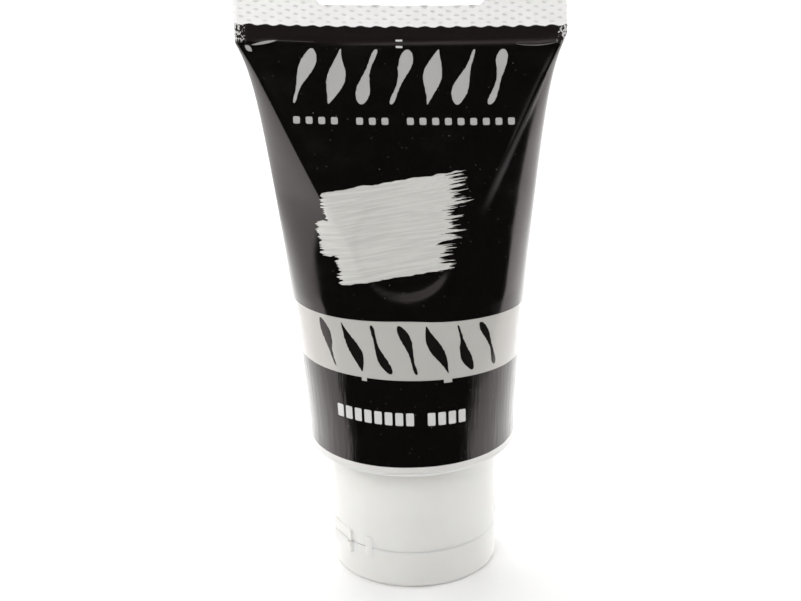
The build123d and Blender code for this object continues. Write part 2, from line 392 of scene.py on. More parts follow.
def outer_skin(rows):
    """Grid of the printed skin, the length round it at each row, and how far it is from the slot."""
    around = 2 * SLEEVE_COLUMNS
    grid = np.zeros((len(rows), around, 3))
    lengths = np.zeros(len(rows))
    for i, height in enumerate(rows):
        grid[i, :, :2], lengths[i] = section(height, 0.0, SLEEVE_COLUMNS)
        grid[i, :, 2] = height
    lip = LIP_DEPTH * (1 - share(rows, SLEEVE_FOOT, SLEEVE_FOOT + LIP_HEIGHT)) ** 2
    grid[:, :, :2] *= (1 - lip / TUBE_RADIUS)[:, None, None]

    # Emboss, then bend and dent, then roughen the cut ends of the crimp
    x, y, z = grid[..., 0].copy(), grid[..., 1].copy(), grid[..., 2].copy()
    edge_fade = share(FIN_HALF_WIDTH - np.abs(x), 0.0, 1.2)
    grid[..., 1] -= np.sign(y) * np.minimum(embossing(x, z), MOST_RELIEF) * edge_fade
    lean, push = soft_shape(x, y, z, from_front_middle(around) * lengths[:, None])
    grid[..., 0] += lean
    grid[..., 1] += push
    in_crimp = share(z, SEAL_START - 1.2, SEAL_START + 1.6) * (1 - share(z, INK_TOP, INK_TOP + 0.6))
    ragged = RAGGED_DEPTH * np.sin(z * 9.0) * np.sin(z * 23.0 + 1.0)
    at_edge = share(np.abs(x), FIN_HALF_WIDTH - 0.6, FIN_HALF_WIDTH)
    grid[..., 0] -= np.sign(x) * at_edge * ragged * in_crimp

    # Snap the points beside the slot to its outline
    level = z + ASKEW * x
    away = slot_distance(x, level)
    step = 0.02
    slope_x = (slot_distance(x + step, level) - slot_distance(x - step, level)) / (2 * step)
    slope_z = (slot_distance(x, level + step) - slot_distance(x, level - step)) / (2 * step)
    beside_slot = (np.abs(away) < SLOT_SNAP) & (z > SLOT_FOOT - 1)
    grid[..., 0] -= np.where(beside_slot, away * slope_x, 0)
    grid[..., 2] -= np.where(beside_slot, away * slope_z, 0)
    return grid, lengths, np.where(beside_slot, 0.0, away)


def outer_faces(rows, from_slot):
    """Faces of the outer skin, left open at the slot, and the slot's walls through the fin."""
    around = 2 * SLEEVE_COLUMNS
    faces = []
    rim = {}
    for i in range(len(rows) - 1):
        for j in range(around):
            k = (j + 1) % around
            corners = ((i, j), (i, k), (i + 1, k), (i + 1, j))
            indices = [row * around + column for row, column in corners]
            if rows[i] <= SLOT_FOOT - 1 or sum(from_slot[corner] for corner in corners) >= -1e-6:
                faces.append(tuple(indices))
            elif j < SLEEVE_COLUMNS:
                for edge in zip(indices, indices[1:] + indices[:1]):
                    if rim.pop(edge[::-1], None) is None:
                        rim[edge] = True

    def behind(point):
        return point - point % around + -point % around

    for a, b in rim:
        faces.append((a, b, behind(b), behind(a)))
    return faces


def inner_skin(length):
    """Grid of the sleeve's inside, from the foot up to where the front and back meet."""
    around = 2 * SLEEVE_COLUMNS
    rows = [SLEEVE_FOOT, SLEEVE_FOOT + 1.0, *np.arange(ROUND_END, VOID_END, 3.0), VOID_END]
    grid = np.zeros((len(rows), around, 3))
    for i, height in enumerate(rows):
        grid[i, :, :2] = section(height, SLEEVE_WALL, SLEEVE_COLUMNS)[0]
        grid[i, :, 2] = height
    lean, push = soft_shape(grid[..., 0], grid[..., 1], grid[..., 2], from_front_middle(around) * length)
    grid[..., 0] += lean
    grid[..., 1] += push
    return grid


def make_sleeve():
    """The printed sleeve and its fin: one closed shell with real wall thickness."""
    around = 2 * SLEEVE_COLUMNS
    rows = sleeve_rows()
    outer, lengths, from_slot = outer_skin(rows)
    inner = inner_skin(lengths[0])
    inner_start = len(outer) * around
    faces = outer_faces(rows, from_slot)
    faces += front_to_back(inner_start - around, SLEEVE_COLUMNS, upward=True)
    for i in range(len(inner) - 1):
        low = inner_start + i * around
        faces += bridge(low, low + around, around)
    faces += bridge(0, inner_start, around)
    roof = inner_start + (len(inner) - 1) * around
    faces += front_to_back(roof, SLEEVE_COLUMNS, upward=False)

    vertices = np.concatenate([outer.reshape(-1, 3), inner.reshape(-1, 3)])
    sleeve = new_object("sleeve", vertices, faces)
    add_print_map(sleeve.data, lengths, around, inner_start)
    return sleeve


def add_print_map(mesh, lengths, around, inner_start):
    """UV map of the flat print: distance from the middle of the front, and height, in mm."""
    layer = mesh.uv_layers.new(name="print")
    heights = [vertex.co.z / MM for vertex in mesh.vertices]
    for face in mesh.polygons:
        points = [mesh.loops[loop].vertex_index for loop in face.loop_indices]
        columns = [point % around for point in points]
        wraps = max(columns) - min(columns) > around / 2
        for loop, point, column in zip(face.loop_indices, points, columns):
            length = lengths[point // around] if point < inner_start else lengths[0]
            if wraps and column < around / 2:
                column += around
            layer.data[loop].uv = ((column / around - 0.25) * length, heights[point])


def make_paint():
    """The paint that fills the neck and the sleeve, bent with the sleeve so that it stays inside."""
    gap = SLEEVE_WALL + 0.12
    columns = 48
    around = 2 * columns
    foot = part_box("paint_fill")[0].z / MM
    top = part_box("paint_fill")[1].z / MM - 0.5
    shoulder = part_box("tube_head")[1].z / MM
    bore = 7.3
    rim = TUBE_RADIUS - 1.8
    neck = [(0.02, foot), (bore, foot), (bore, SLEEVE_FOOT - 1.4), (bore + 0.9, SLEEVE_FOOT + 0.1),
            (rim - 0.4, shoulder - 2.3), (rim, shoulder), (rim, ROUND_END)]
    angle = math.pi + np.arange(around) / columns * math.pi
    rings = [np.stack([r * np.cos(angle), r * np.sin(angle), np.full(around, z)], 1) for r, z in neck]
    for z in np.append(np.arange(ROUND_END + 0.6, top, 1.4), top):
        rings.append(np.column_stack([section(z, gap, columns)[0], np.full(around, z)]))
    grid = np.array(rings)
    along = from_front_middle(around) * 2 * math.pi * TUBE_RADIUS
    lean, push = soft_shape(grid[..., 0], grid[..., 1], grid[..., 2], along)
    grid[..., 0] += lean
    grid[..., 1] += push
    last = (len(rings) - 1) * around
    faces = [tuple(reversed(range(around))), tuple(range(last, last + around))]
    for i in range(len(rings) - 1):
        faces += bridge((i + 1) * around, i * around, around)
    return new_object("paint", grid.reshape(-1, 3), faces)


# ---------------------------------------------------------------- shader maths

class Nodes:
    """A node tree, with shader maths written as short calls."""

    def __init__(self, tree):
        self.tree = tree
        self.tree.nodes.clear()

    def new(self, kind):
        return self.tree.nodes.new(kind)

    def put(self, value, socket):
        """Link a socket, or set a plain number or colour."""
        if isinstance(value, bpy.types.NodeSocket):
            self.tree.links.new(value, socket)
        else:
            socket.default_value = value

    def math(self, operation, *values, clamp=False):
        node = self.new("ShaderNodeMath")
        node.operation = operation
        node.use_clamp = clamp
        for value, socket in zip(values, node.inputs):
            self.put(value, socket)
        return node.outputs[0]

    def total(self, operation, values):
        result = values[0]
        for value in values[1:]:
            result = self.math(operation, result, value)
        return result

    def add(self, *values):
        return self.total("ADD", values)

    def times(self, *values):
        return self.total("MULTIPLY", values)

    def most(self, *values):
        return self.total("MAXIMUM", values)

    def minus(self, a, b):
        return self.math("SUBTRACT", a, b)

    def over(self, a, b):
        return self.math("DIVIDE", a, b)

    def size(self, value):
        return self.math("ABSOLUTE", value)

    def length(self, du, dv):
        """Length of a flat vector."""
        return self.math("SQRT", self.add(self.times(du, du), self.times(dv, dv)))

    def step(self, value, low, high, start=0.0, end=1.0):
        """Smooth change from start to end while value goes from low to high."""
        node = self.new("ShaderNodeMapRange")
        node.interpolation_type = "SMOOTHSTEP"
        for name, number in (("Value", value), ("From Min", low), ("From Max", high),
                             ("To Min", start), ("To Max", end)):
            self.put(number, node.inputs[name])
        return node.outputs["Result"]


class Paintwork(Nodes):
    """One surface material."""

    def __init__(self, name):
        self.material = bpy.data.materials.new(name)
        self.material.use_nodes = True
        super().__init__(self.material.node_tree)
        self.surface = self.new("ShaderNodeBsdfPrincipled")
        output = self.new("ShaderNodeOutputMaterial")
        self.put(self.surface.outputs["BSDF"], output.inputs["Surface"])

    def set(self, **values):
        for name, value in values.items():
            self.put(value, self.surface.inputs[name.replace("_", " ")])

    def point(self):
        """Position on the piece, in metres."""
        return self.new("ShaderNodeTexCoord").outputs["Object"]

    def vector(self, x, y, z=0.0):
        node = self.new("ShaderNodeCombineXYZ")
        for value, socket in zip((x, y, z), node.inputs):
            self.put(value, socket)
        return node.outputs[0]

    def noise(self, vector, scale, detail=2.0, roughness=0.5):
        node = self.new("ShaderNodeTexNoise")
        self.put(vector, node.inputs["Vector"])
        self.put(scale, node.inputs["Scale"])
        self.put(detail, node.inputs["Detail"])
        self.put(roughness, node.inputs["Roughness"])
        return node.outputs["Fac"]

    def uneven(self, vector, scale, swing, detail=2.0):
        """Noise about zero, as wide as swing."""
        return self.times(self.minus(self.noise(vector, scale, detail), 0.5), swing)

    def blend(self, factor, a, b):
        node = self.new("ShaderNodeMix")
        node.data_type = "RGBA"
        self.put(factor, node.inputs["Factor"])
        self.put(a, node.inputs[6])
        self.put(b, node.inputs[7])
        return node.outputs[2]

    def bump(self, height, distance, strength=1.0):
        node = self.new("ShaderNodeBump")
        self.put(height, node.inputs["Height"])
        self.put(distance, node.inputs["Distance"])
        self.put(strength, node.inputs["Strength"])
        self.put(node.outputs["Normal"], self.surface.inputs["Normal"])


# ---------------------------------------------------------------- marks of the print

def in_box(ink, u, v, middle, half, radius=0.0):
    """Mask of a rounded box on the flat print."""
    du = ink.minus(ink.size(ink.minus(u, middle[0])), half[0] - radius)
    dv = ink.minus(ink.size(ink.minus(v, middle[1])), half[1] - radius)
    if radius:
        reach = ink.length(ink.most(du, 0.0), ink.most(dv, 0.0))
        return ink.step(reach, radius + EDGE, radius - EDGE)
    return ink.step(ink.most(du, dv), EDGE, -EDGE)


def every(ink, u, pitch, start, count):
    """Distance from the middle of the nearest of a row's repeats, its number, and a mask of the row."""
    cell = ink.over(ink.minus(u, start), pitch)
    number = ink.math("FLOOR", cell)
    local = ink.times(ink.minus(ink.minus(cell, number), 0.5), pitch)
    inside = ink.times(ink.step(cell, -0.001, 0.001), ink.step(cell, count + 0.001, count - 0.001))
    return local, number, inside


def block_row(ink, u, v, height, pitch, start, count, half, radius, spaces):
    """A row of small rounded blocks, with some left out as spaces."""
    local, number, inside = every(ink, u, pitch, start, count)
    row = ink.times(in_box(ink, local, v, (0.0, height), half, radius), inside)
    for space in spaces:
        row = ink.times(row, ink.step(ink.size(ink.minus(number, space)), 0.2, 0.4))
    return row


def brush_dabs(ink, u, v, height, half_height, pitch, count, half_width, slant, shift):
    """A row of slanted brush dabs, each thick at one end and drawn out at the other."""
    along = ink.over(ink.minus(v, height), half_height)
    leaning = ink.minus(u, ink.times(along, slant))
    local, number, inside = every(ink, leaning, pitch, shift - pitch * count / 2, count)

    def wave(per_dab, per_height, swing):
        turn = ink.add(ink.times(number, per_dab), ink.times(along, per_height))
        return ink.times(ink.math("SINE", turn), swing)

    swell = ink.math("SQRT", ink.most(ink.minus(1.0, ink.times(along, along)), 0.0))
    width = ink.times(swell, ink.add(0.62, wave(1.9, 2.6, 0.38)), half_width)
    fray = ink.uneven(ink.vector(ink.times(u, 3.0), ink.times(v, 0.5)), 1.4, 0.5, detail=3.0)
    from_middle = ink.size(ink.minus(local, wave(2.4, 2.2, 0.35)))
    gap = ink.minus(from_middle, ink.add(width, ink.times(fray, swell)))
    return ink.times(ink.step(gap, EDGE, -EDGE), inside, ink.step(swell, 0.05, 0.2))


def brush_swatch(ink, u, v):
    """A colour swatch of three overlapping brush strokes with dry, streaked ends."""
    du = ink.minus(u, SWATCH_MIDDLE_U)
    dv = ink.minus(v, SWATCH_MIDDLE_V)
    cos, sin = math.cos(SWATCH_TILT), math.sin(SWATCH_TILT)
    along = ink.add(ink.times(du, cos), ink.times(dv, sin))
    across = ink.minus(ink.times(dv, cos), ink.times(du, sin))
    streak = ink.noise(ink.vector(ink.times(along, 0.045), across), 2.1, detail=4.0, roughness=0.65)
    strokes = []
    for middle, half, low, high in SWATCH_STROKES:
        wander = ink.uneven(ink.vector(ink.times(along, 0.25), middle), 1.3, 1.1)
        edge = ink.add(ink.size(ink.minus(across, middle)), wander)
        near_end = ink.add(along, ink.times(ink.minus(streak, 0.5), 16.0))
        far_end = ink.add(along, ink.times(ink.minus(streak, 0.5), 5.0))
        strokes.append(ink.times(ink.step(edge, half + EDGE, half - EDGE),
                                 ink.step(far_end, low - EDGE, low + EDGE),
                                 ink.step(near_end, high + EDGE, high - EDGE)))
    dry = ink.times(ink.step(streak, 0.60, 0.68), ink.step(along, 2.0, 13.0))
    return ink.times(ink.most(*strokes), ink.minus(1.0, dry)), streak


def beside_line(ink, u, v, start, end):
    """How far along a line from start to end a point is (0 to 1), and its offset from there."""
    run_u, run_v = end[0] - start[0], end[1] - start[1]
    square = run_u**2 + run_v**2
    du, dv = ink.minus(u, start[0]), ink.minus(v, start[1])
    t = ink.math("ADD", ink.times(du, run_u / square), ink.times(dv, run_v / square), clamp=True)
    return t, ink.minus(du, ink.times(t, run_u)), ink.minus(dv, ink.times(t, run_v))


def painted_crease_highlight(ink, u, v, start, end, half_width, sag=0.0):
    """Painted highlight: a pale lens-shaped mark along a sharp fold of the laminate, where the fold catches
    the light.
    """
    t, off_u, off_v = beside_line(ink, u, v, start, end)
    middle = ink.times(t, 4.0, ink.minus(1.0, t))
    away = ink.length(off_u, ink.add(off_v, ink.times(middle, sag)))
    return ink.step(ink.minus(away, ink.times(middle, half_width)), 0.09, -0.09)


def painted_crease_sheen(ink, u, v, start, end, half_width):
    """Painted highlight: a soft pale streak down a long crease, narrow at its start, that fades at both
    ends.
    """
    t, off_u, off_v = beside_line(ink, u, v, start, end)
    width = ink.times(ink.add(ink.times(t, 0.65), 0.35), half_width)
    reach = ink.over(ink.length(off_u, off_v), width)
    return ink.times(ink.step(reach, 1.0, 0.0), ink.step(t, 0.0, 0.2), ink.step(t, 1.0, 0.7))


def dimples(ink, u, v):
    """Mask of the slanted dimples that are pressed into the fin, in line with the embossed ones; it paints
    shade into them and deepens them in the bump.
    """
    row = ink.over(ink.minus(v, INK_TOP), LATTICE_ROW)
    number = ink.math("ROUND", row)
    dv = ink.times(ink.minus(row, number), LATTICE_ROW)
    odd = ink.math("FLOORED_MODULO", number, 2.0)
    shifted = ink.add(ink.minus(u, ink.times(odd, LATTICE_PITCH / 2)), LATTICE_PITCH / 2)
    du = ink.minus(ink.math("FLOORED_MODULO", shifted, LATTICE_PITCH), LATTICE_PITCH / 2)
    slanted = ink.over(ink.add(du, ink.times(dv, LATTICE_SLANT)), 0.50)
    flat = ink.over(dv, 0.19)
    reach = ink.add(ink.times(slanted, slanted), ink.times(flat, flat))
    return ink.times(ink.step(reach, 1.3, 0.1), ink.step(v, LATTICE_START, LATTICE_FULL))


def inked_area(ink, u, v, upright):
    """Mask of the ink, with the scalloped upper edge that the lattice gives it."""
    scallop = ink.times(ink.math("COSINE", ink.times(u, 2 * math.pi / LATTICE_PITCH)), 0.14)
    wander = ink.uneven(ink.vector(u, 0.0), 0.9, 0.35, detail=3.0)
    return ink.times(ink.step(ink.add(v, scallop, wander), INK_TOP + EDGE, INK_TOP - EDGE),
                     ink.step(upright, INK_FOOT - EDGE, INK_FOOT + EDGE))


def pale_band(ink, u, v):
    """Mask of the band round the whole sleeve, with two tabs below it."""
    band = ink.times(ink.step(v, BAND_FOOT - EDGE, BAND_FOOT + EDGE),
                     ink.step(v, BAND_TOP + EDGE, BAND_TOP - EDGE))
    for middle, half in ((-8.8, 0.5), (6.9, 0.8)):
        band = ink.most(band, in_box(ink, u, v, (middle, BAND_FOOT - 0.1), (half, 0.55)))
    return band


def worn_ends(ink, u, v, to_edge, in_crimp):
    """Mask of the flaked ink at both ends of the crimp."""
    flakes = ink.noise(ink.vector(ink.times(u, 1.5), v), 1.7, detail=1.0, roughness=0.5)
    end = ink.step(ink.size(to_edge), FIN_HALF_WIDTH - 2.6, FIN_HALF_WIDTH + 0.4)
    worn = ink.step(ink.add(flakes, ink.times(end, 0.20)), 0.61, 0.64)
    return ink.times(worn, in_crimp, ink.step(end, 0.02, 0.2))


def painted_fold_highlights(ink, u, v):
    """Mask of the painted highlights along the small folds below the crimp."""
    return ink.most(
        painted_crease_highlight(ink, u, v, (-22.6, 103.95), (-27.4, 102.95), half_width=0.24),
        painted_crease_highlight(ink, u, v, (-28.6, 102.85), (-27.3, 101.85), half_width=0.42),
        ink.times(painted_crease_highlight(ink, u, v, (21.0, 103.5), (28.6, 103.7), half_width=0.05, sag=0.36), 0.75),
        ink.times(painted_crease_highlight(ink, u, v, (-15.8, 103.8), (-22.8, 103.9), half_width=0.02), 0.35),
    )


def printed_sleeve():
    """Glossy black ink with generic marks, over a white laminate that shows at both ends."""
    ink = Paintwork("printed_laminate")
    where = ink.new("ShaderNodeUVMap")
    where.uv_map = "print"
    split = ink.new("ShaderNodeSeparateXYZ")
    ink.put(where.outputs["UV"], split.inputs[0])
    u, upright = split.outputs["X"], split.outputs["Y"]
    to_edge = ink.minus(EDGE_REACH, ink.size(ink.minus(u, EDGE_REACH)))
    v = ink.add(upright, ink.times(to_edge, ASKEW))
    flat = ink.vector(u, v)

    # Masks of what is printed, pressed and worn, and of the painted highlight down the right crease
    inked = inked_area(ink, u, v, upright)
    in_crimp = ink.times(ink.step(v, SEAL_START - 0.8, SEAL_START), inked)
    title = brush_dabs(ink, u, v, TITLE_HEIGHT, half_height=4.8, pitch=5.9, count=7,
                       half_width=1.7, slant=1.5, shift=-0.4)
    fine_row = block_row(ink, u, v, FINE_ROW_HEIGHT, pitch=2.3, start=-20.7, count=18,
                         half=(0.62, 0.62), radius=0.3, spaces=(4.0, 8.0))
    grey = ink.most(title, fine_row)
    swatch, streak = brush_swatch(ink, u, v)
    band = pale_band(ink, u, v)
    marks = brush_dabs(ink, u, v, MARKS_HEIGHT, half_height=4.4, pitch=5.3, count=7,
                       half_width=1.35, slant=-1.7, shift=-0.3)
    blocks = block_row(ink, u, v, BLOCKS_HEIGHT, pitch=2.0, start=-15.4, count=13,
                       half=(0.72, 1.25), radius=0.25, spaces=(8.0,))
    dashes = ink.most(in_box(ink, u, v, (-0.4, SEAL_START + 0.2), (0.6, 0.17)),
                      in_box(ink, u, v, (-0.4, SEAL_START - 0.9), (0.6, 0.17)))
    worn = worn_ends(ink, u, v, to_edge, in_crimp)
    # Painted highlight down the right crease
    sheen_top, sheen_foot = 101.0, 73.0
    sheen = painted_crease_sheen(ink, u, v, (flat_half_width(sheen_top), sheen_top),
                         (flat_half_width(sheen_foot), sheen_foot), half_width=1.15)
    pressed = dimples(ink, u, v)

    # Colour: the ink's layers with painted highlights on the folds and down the right crease, then the
    # laminate where there is no ink, with painted shade in its dimples and at the foot
    cloud = ink.step(ink.noise(flat, 0.35, detail=4.0, roughness=0.6), 0.3, 0.7)
    specks = ink.step(ink.noise(flat, 2.4, detail=0.0), 0.82, 0.86)
    black = ink.blend(cloud, BLACK_INK, BLACK_INK_CLOUD)
    black = ink.blend(specks, black, SPECK_GREY)
    black = ink.blend(in_crimp, black, CRIMP_BLACK)
    colour = ink.blend(grey, black, GREY_INK)
    colour = ink.blend(swatch, colour, ink.blend(ink.step(streak, 0.35, 0.65), SWATCH_INK, SWATCH_LIGHT))
    colour = ink.blend(band, colour, PALE_INK)
    colour = ink.blend(ink.times(marks, band), colour, MARK_INK)
    colour = ink.blend(ink.most(blocks, dashes), colour, WHITE_INK)
    colour = ink.blend(worn, colour, WORN_GREY)
    # Painted highlights on the small folds below the crimp
    colour = ink.blend(painted_fold_highlights(ink, u, v), colour, PAINTED_HIGHLIGHT_GREY)
    # Painted highlight down the right crease
    colour = ink.blend(ink.times(sheen, 0.13), colour, PAINTED_HIGHLIGHT_GREY)
    plastic = ink.blend(ink.noise(flat, 0.6, detail=3.0), FIN_WHITE, FIN_WHITE_CLOUD)
    # Painted shade in the fin's dimples
    plastic = ink.blend(pressed, plastic, DIMPLE_PAINTED_SHADE)
    # Painted shade on the bare laminate at the sleeve's foot, fading out between 40 and 60 mm up
    plastic = ink.blend(ink.step(v, 40.0, 60.0), FOOT_PAINTED_SHADE, plastic)

    # Gloss, with smudges, and duller in the crimp and on the bare laminate
    smudge = ink.noise(ink.vector(ink.times(u, 0.6), v), 0.16, detail=5.0, roughness=0.6)
    gloss = ink.add(0.11, ink.times(ink.step(smudge, 0.45, 0.75), 0.10),
                    ink.times(in_crimp, 0.26), ink.times(ink.minus(1.0, inked), 0.22))
    ink.set(Base_Color=ink.blend(inked, plastic, colour), Roughness=gloss)
    ink.set(IOR=1.5, Specular_IOR_Level=0.5, Specular_Tint=(1.0, 0.88, 0.89, 1))

    # Relief: grain, slow waves, dimples, upright creep streaks near the foot, and the ink's thickness
    grain = ink.noise(flat, 3.2, detail=3.0, roughness=0.6)
    waves = ink.noise(ink.vector(ink.times(u, 0.5), ink.times(v, 0.5)), 0.22, detail=2.0)
    creep = ink.noise(ink.vector(ink.times(u, 1.1), ink.times(v, 0.10)), 0.9, detail=3.0, roughness=0.6)
    creep = ink.times(creep, ink.step(v, 50.0, 44.0))
    relief = ink.add(ink.times(grain, 0.05), ink.times(waves, 0.5), ink.times(pressed, -0.8),
                     ink.times(creep, 0.5), ink.times(ink.most(grey, swatch, band), 0.06))
    ink.bump(relief, 0.00012)
    return ink.material


# ---------------------------------------------------------------- other materials

def moulded_plastic(name, colour, cloud_colour, glow=0.5):
    """Satin moulded plastic with a fine grain and faint cloudy colour; glow is light let into it."""
    plastic = Paintwork(name)
    place = plastic.point()
    cloud = plastic.noise(place, 60.0, detail=4.0, roughness=0.6)
    fine = plastic.noise(place, 900.0, detail=3.0, roughness=0.6)
    plastic.set(Base_Color=plastic.blend(plastic.step(cloud, 0.3, 0.7), colour, cloud_colour))
    plastic.set(Roughness=plastic.add(PLASTIC_ROUGHNESS, plastic.times(plastic.minus(fine, 0.5), 0.16)))
    plastic.set(IOR=1.5, Specular_IOR_Level=0.35)
    plastic.set(Subsurface_Weight=glow, Subsurface_Radius=(0.0014, 0.0012, 0.0010), Subsurface_Scale=1.0)
    plastic.bump(plastic.add(fine, plastic.times(cloud, 2.0)), 0.00002, strength=0.6)
    return plastic.material


def seal_foil():
    foil = Paintwork("rolled_foil")
    rolled = foil.noise(foil.point(), 2500.0, detail=3.0)
    foil.set(Base_Color=foil.blend(rolled, (0.72, 0.72, 0.73, 1), (0.84, 0.84, 0.85, 1)))
    foil.set(Roughness=foil.add(0.22, foil.times(rolled, 0.2)), Metallic=1.0)
    foil.bump(rolled, 0.00002)
    return foil.material


def washer_foam():
    foam = Paintwork("liner_foam")
    cells = foam.new("ShaderNodeTexVoronoi")
    foam.put(foam.point(), cells.inputs["Vector"])
    foam.put(4200.0, cells.inputs["Scale"])
    from_cell = cells.outputs["Distance"]
    foam.set(Base_Color=foam.blend(from_cell, (0.84, 0.84, 0.80, 1), (0.74, 0.74, 0.70, 1)), Roughness=0.8)
    foam.bump(from_cell, 0.00006)
    return foam.material


def white_paint():
    paint = Paintwork("thick_white_paint")
    folds = paint.noise(paint.point(), 320.0, detail=5.0, roughness=0.55)
    paint.set(Base_Color=paint.blend(folds, (0.88, 0.87, 0.84, 1), (0.95, 0.945, 0.92, 1)))
    paint.set(Roughness=paint.add(0.25, paint.times(folds, 0.2)))
    paint.set(Subsurface_Weight=0.2, Subsurface_Radius=(0.002, 0.0018, 0.0015), Subsurface_Scale=1.0)
    paint.bump(folds, 0.0003)
    return paint.material


def dress(node, material):
    """Give a carried-over CAD node its material."""
    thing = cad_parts[node]
    if not thing.material_slots:
        thing.data.materials.append(material)
    for entry in thing.material_slots:
        entry.material = material


# ---------------------------------------------------------------- stage, lights and camera

def white_sheet():
    """Matt white floor, which glows a little far from the object so that it stays white there."""
    sheet = Paintwork("white_sheet")
    fibres = sheet.noise(sheet.point(), 800.0, detail=3.0)
    sheet.set(Base_Color=sheet.blend(fibres, (0.90, 0.90, 0.895, 1), (0.92, 0.92, 0.915, 1)), Roughness=0.9)
    far = sheet.new("ShaderNodeVectorMath")
    far.operation = "LENGTH"
    sheet.put(sheet.point(), far.inputs[0])
    glow = sheet.step(far.outputs["Value"], 0.10, 0.9, start=0.0, end=0.5)
    sheet.set(Specular_IOR_Level=0.1, Emission_Color=(1, 1, 1, 1), Emission_Strength=glow)
    return sheet.material


def pale_wall():
    material = bpy.data.materials.new("pale_wall")
    material.use_nodes = True
    wall = Nodes(material.node_tree)
    emit = wall.new("ShaderNodeEmission")
    emit.inputs["Color"].default_value = (BACKDROP, BACKDROP, BACKDROP, 1)
    emit.inputs["Strength"].default_value = 1.0
    wall.put(emit.outputs[0], wall.new("ShaderNodeOutputMaterial").inputs["Surface"])
    return material


def make_stage():
    """White floor, and a pale wall all round that only the camera sees."""
    floor_reach, wall_radius, wall_height, wall_sides = 6000, 5500, 9000, 96
    corners = [(-1, -1), (1, -1), (1, 1), (-1, 1)]
    floor = new_object("floor", [(floor_reach * x, floor_reach * y, 0) for x, y in corners],
                       [(0, 1, 2, 3)], smooth_faces=False)
    floor.data.materials.append(white_sheet())
    floor.visible_glossy = False

    turn = np.linspace(0, 2 * math.pi, wall_sides, endpoint=False)
    ring = [(wall_radius * math.cos(a), wall_radius * math.sin(a)) for a in turn]
    points = [(x, y, z) for z in (0, wall_height) for x, y in ring]
    wall = new_object("backdrop", points, bridge(0, wall_sides, wall_sides))
    wall.data.materials.append(pale_wall())
    for ray in ("visible_diffuse", "visible_glossy", "visible_transmission", "visible_shadow"):
        setattr(wall, ray, False)
    bpy.context.scene.view_settings.view_transform = "Standard"


def make_world():
    """A white light tent: bright at its sides and back, darker above, and dark round the camera."""
    world = bpy.data.worlds.new("studio")
    world.use_nodes = True
    tent = Nodes(world.node_tree)
    split = tent.new("ShaderNodeSeparateXYZ")
    tent.put(tent.new("ShaderNodeTexCoord").outputs["Generated"], split.inputs[0])
    x, y, z = split.outputs
    turn = tent.math("ARCTAN2", x, tent.times(y, -1.0))
    from_front = tent.size(turn)

    def sweep(angle, low, high, start=0.0, end=1.0):
        """Smooth change from start to end while an angle goes from low to high, in degrees."""
        return tent.step(angle, math.radians(low), math.radians(high), start, end)

    def sector(left_out, left_in, right_in, right_out):
        """Mask of the directions between two soft edges, in degrees from the front."""
        return tent.times(sweep(turn, left_out, left_in), sweep(turn, right_out, right_in))

    # Dark opening round the camera, softer low down, with a small bright window above it
    low_down = tent.step(z, -0.31, -0.37)
    crisp, soft = sector(-77, -74, 86, 90), sector(-79, -66, 57, 74)
    opening = tent.add(crisp, tent.times(low_down, tent.minus(soft, crisp)))
    opening = tent.times(opening, tent.step(z, 0.66, 0.44))
    window = tent.times(sector(-44, -38, -2, 8), tent.step(z, 0.50, 0.56), tent.step(z, 0.76, 0.68))
    dim = tent.add(tent.times(window, FRONT_WINDOW), FRONT_DARK)

    # Walls: bright below the horizon, brightest behind, and some more at the right
    low_wall = tent.times(sweep(from_front, 85, 120, LOW_WALL_SIDE, LOW_WALL_BEHIND),
                          sweep(from_front, 145, 172, 1.0, 0.6))
    below_horizon = tent.step(z, 0.10, -0.04)
    bright = tent.add(tent.times(low_wall, below_horizon), tent.times(tent.minus(1.0, below_horizon), SKY))
    right_wall = tent.times(sweep(turn, 60, 95), tent.step(z, -0.04, -0.14), tent.step(z, -0.40, -0.22))
    bright = tent.add(bright, tent.times(right_wall, LOW_WALL_RIGHT))

    strength = tent.add(tent.times(bright, tent.minus(1.0, opening)), tent.times(opening, dim))
    back = tent.new("ShaderNodeBackground")
    back.inputs["Color"].default_value = (1.0, 0.995, 0.985, 1)
    tent.put(strength, back.inputs["Strength"])
    tent.put(back.outputs[0], tent.new("ShaderNodeOutputWorld").inputs["Surface"])
    bpy.context.scene.world = world


def softbox(name, place, size, watts, target=(0, 0, 60)):
    """Rectangular soft light, in millimetres, facing a target, that doesn't show in reflections."""
    data = bpy.data.lights.new(name, "AREA")
    data.shape = "RECTANGLE"
    data.size, data.size_y = size[0] * MM, size[1] * MM
    data.energy = watts
    lamp = bpy.data.objects.new(name, data)
    bpy.context.scene.collection.objects.link(lamp)
    lamp.location = Vector(place) * MM
    lamp.rotation_euler = (Vector(target) - Vector(place)).to_track_quat("-Z", "Y").to_euler()
    lamp.visible_glossy = False
    return lamp


def glint_strip(name, place, size, watts, target=(0, 0, 100)):
    """Narrow bright strip that only shows in reflections."""
    lamp = softbox(name, place, size, watts, target)
    lamp.visible_glossy = True
    lamp.visible_diffuse = False


def make_camera():
    data = bpy.data.cameras.new("camera")
    data.sensor_width = 36.0
    data.lens = CAMERA_LENS
    data.clip_start = 0.01
    camera = bpy.data.objects.new("camera", data)
    bpy.context.scene.collection.objects.link(camera)
    down, pan = CAMERA_DOWN, CAMERA_PAN
    forward = Vector((math.sin(pan) * math.cos(down), math.cos(pan) * math.cos(down), -math.sin(down)))
    right = Vector((math.cos(pan), -math.sin(pan), 0))
    up = right.cross(forward)
    turned_right = right * math.cos(CAMERA_ROLL) - up * math.sin(CAMERA_ROLL)
    turned_up = right * math.sin(CAMERA_ROLL) + up * math.cos(CAMERA_ROLL)
    matrix = Matrix((turned_right, turned_up, -forward)).transposed().to_4x4()
    matrix.translation = Vector((0, -CAMERA_DISTANCE, CAMERA_HEIGHT)) * MM
    camera.matrix_world = matrix
    bpy.context.scene.camera = camera


# ---------------------------------------------------------------- pieces of the cap

